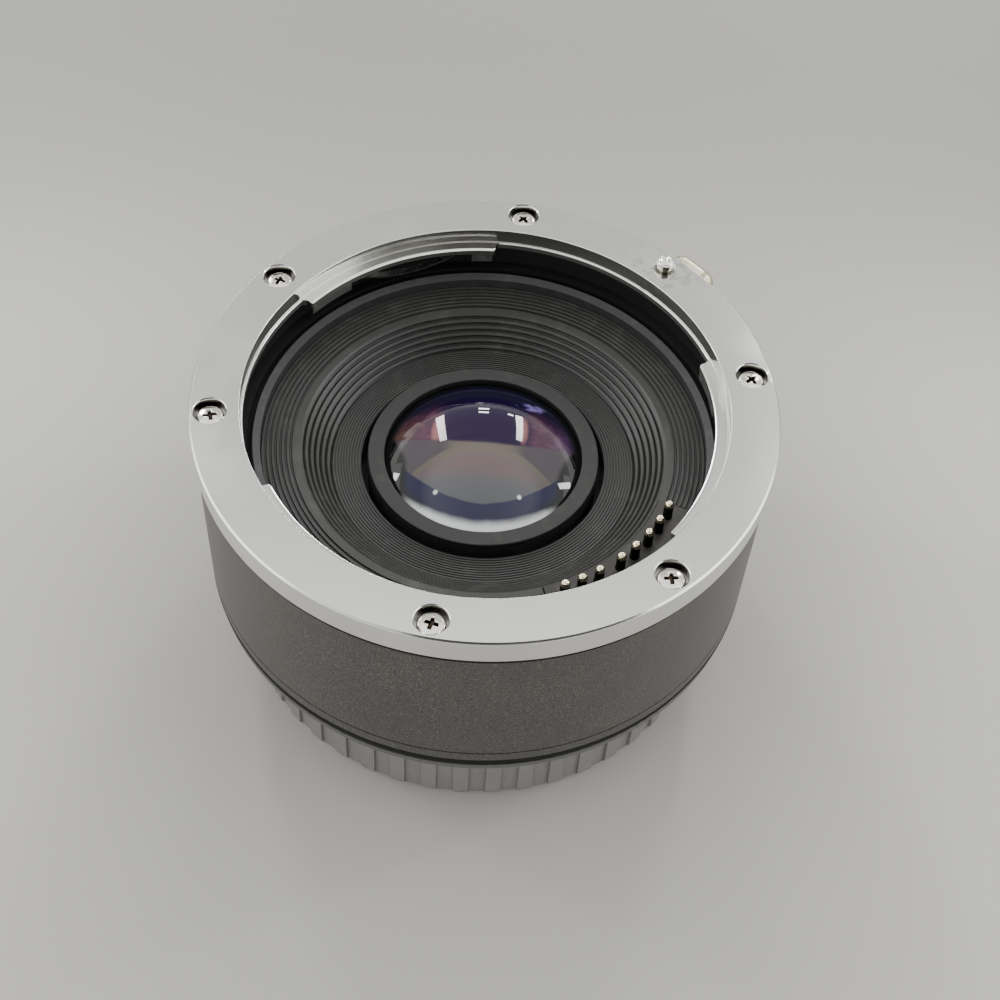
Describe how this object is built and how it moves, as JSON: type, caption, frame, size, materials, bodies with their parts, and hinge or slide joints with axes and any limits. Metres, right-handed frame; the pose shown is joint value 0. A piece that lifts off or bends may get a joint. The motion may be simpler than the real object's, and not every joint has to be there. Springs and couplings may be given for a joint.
{
  "type": "teleconverter",
  "caption": "Short bayonet lens extender standing on its ribbed rear cap: tabbed throat, grooved baffle, sprung contacts, curved front lens, lock pin and release knob.",
  "frame": {"origin": "centre of the rear cap's underside, on the lens axis", "axes": "+Z along the lens axis, out of the lens side; +X towards the gap between the contacts and the release knob"},
  "size_m": [0.065, 0.065, 0.0387],
  "materials": {
    "bayonet_chrome": "satin polished, fine turned marks",
    "screw_steel": "bright, cross recess",
    "polished_steel": "polished, worn",
    "spring_steel": "drawn wire and strip",
    "barrel_paint": "satin speckled dark grey",
    "shim_black": "matt black",
    "chassis_alloy": "dark satin anodised",
    "cell_black": "black satin anodised",
    "baffle_black": "matt black, grooved against stray light",
    "contact_plastic": "smooth satin black",
    "contact_gilt": "gilt",
    "coated_glass": "violet and magenta coating",
    "board_green": "solder resist",
    "chip_black": "moulded black",
    "flex_amber": "amber film",
    "mark_red": "glossy red",
    "cap_plastic": "fine grained dark grey-brown"
  },
  "bodies": {
    "converter_body": {"front_mount": "bayonet_chrome", "rear_mount": "bayonet_chrome", "front_mount_screws": "screw_steel", "leaf_spring_screws": "screw_steel", "front_contact_block_screws": "screw_steel", "board_screws": "screw_steel", "rear_mount_screws": "screw_steel", "rear_contact_block_screws": "screw_steel", "lock_spring": "spring_steel", "mount_leaf_springs": "spring_steel", "contact_spring_1": "spring_steel", "contact_spring_2": "spring_steel", "contact_spring_3": "spring_steel", "contact_spring_4": "spring_steel", "contact_spring_5": "spring_steel", "contact_spring_6": "spring_steel", "contact_spring_7": "spring_steel", "contact_spring_8": "spring_steel", "barrel": "barrel_paint", "rear_ring": "barrel_paint", "front_shim": "shim_black", "chassis": "chassis_alloy", "lens_cell": "cell_black", "cell_lock_ring": "cell_black", "front_retaining_ring": "cell_black", "rear_retaining_ring": "cell_black", "front_spacer": "cell_black", "rear_spacer": "cell_black", "front_baffle": "baffle_black", "rear_baffle": "baffle_black", "front_contact_block": "contact_plastic", "rear_contact_block": "contact_plastic", "rear_contact_pads": "contact_gilt", "front_element": "coated_glass", "doublet_front_element": "coated_glass", "doublet_rear_element": "coated_glass", "fourth_element": "coated_glass", "rear_element": "coated_glass", "circuit_board": "board_green", "board_chips": "chip_black", "contact_flex": "flex_amber", "lens_index_dot": "mark_red", "camera_index_dot": "mark_red"},
    "release": {"lock_pin": "polished_steel", "lock_carrier": "polished_steel", "release_knob": "polished_steel", "release_knob_screw": "screw_steel"},
    "cap": {"rear_cap": "cap_plastic"},
    "contact_1": {"contact_pin_1": "contact_gilt"},
    "contact_2": {"contact_pin_2": "contact_gilt"},
    "contact_3": {"contact_pin_3": "contact_gilt"},
    "contact_4": {"contact_pin_4": "contact_gilt"},
    "contact_5": {"contact_pin_5": "contact_gilt"},
    "contact_6": {"contact_pin_6": "contact_gilt"},
    "contact_7": {"contact_pin_7": "contact_gilt"},
    "contact_8": {"contact_pin_8": "contact_gilt"}
  },
  "joints": [
    {"name": "release_slide", "type": "slide", "parent": "converter_body", "child": "release", "axis": [0, 0, -1], "range_m": [0, 0.0018], "stiffness_N_per_m": 600, "springref_m": -0.003, "deforming": ["lock_spring"]},
    {"name": "cap_twist", "type": "hinge", "parent": "converter_body", "child": "cap", "pos_m": [0, 0, 0], "axis": [0, 0, 1], "range_deg": [-60, 0]},
    {"name": "contact_1_press", "type": "slide", "parent": "converter_body", "child": "contact_1", "axis": [0, 0, -1], "range_m": [0, 0.0008], "stiffness_N_per_m": 300, "springref_m": -0.002, "deforming": ["contact_spring_1"]},
    {"name": "contact_2_press", "type": "slide", "parent": "converter_body", "child": "contact_2", "axis": [0, 0, -1], "range_m": [0, 0.0008], "stiffness_N_per_m": 300, "springref_m": -0.002, "deforming": ["contact_spring_2"]},
    {"name": "contact_3_press", "type": "slide", "parent": "converter_body", "child": "contact_3", "axis": [0, 0, -1], "range_m": [0, 0.0008], "stiffness_N_per_m": 300, "springref_m": -0.002, "deforming": ["contact_spring_3"]},
    {"name": "contact_4_press", "type": "slide", "parent": "converter_body", "child": "contact_4", "axis": [0, 0, -1], "range_m": [0, 0.0008], "stiffness_N_per_m": 300, "springref_m": -0.002, "deforming": ["contact_spring_4"]},
    {"name": "contact_5_press", "type": "slide", "parent": "converter_body", "child": "contact_5", "axis": [0, 0, -1], "range_m": [0, 0.0008], "stiffness_N_per_m": 300, "springref_m": -0.002, "deforming": ["contact_spring_5"]},
    {"name": "contact_6_press", "type": "slide", "parent": "converter_body", "child": "contact_6", "axis": [0, 0, -1], "range_m": [0, 0.0008], "stiffness_N_per_m": 300, "springref_m": -0.002, "deforming": ["contact_spring_6"]},
    {"name": "contact_7_press", "type": "slide", "parent": "converter_body", "child": "contact_7", "axis": [0, 0, -1], "range_m": [0, 0.0008], "stiffness_N_per_m": 300, "springref_m": -0.002, "deforming": ["contact_spring_7"]},
    {"name": "contact_8_press", "type": "slide", "parent": "converter_body", "child": "contact_8", "axis": [0, 0, -1], "range_m": [0, 0.0008], "stiffness_N_per_m": 300, "springref_m": -0.002, "deforming": ["contact_spring_8"]}
  ]
}
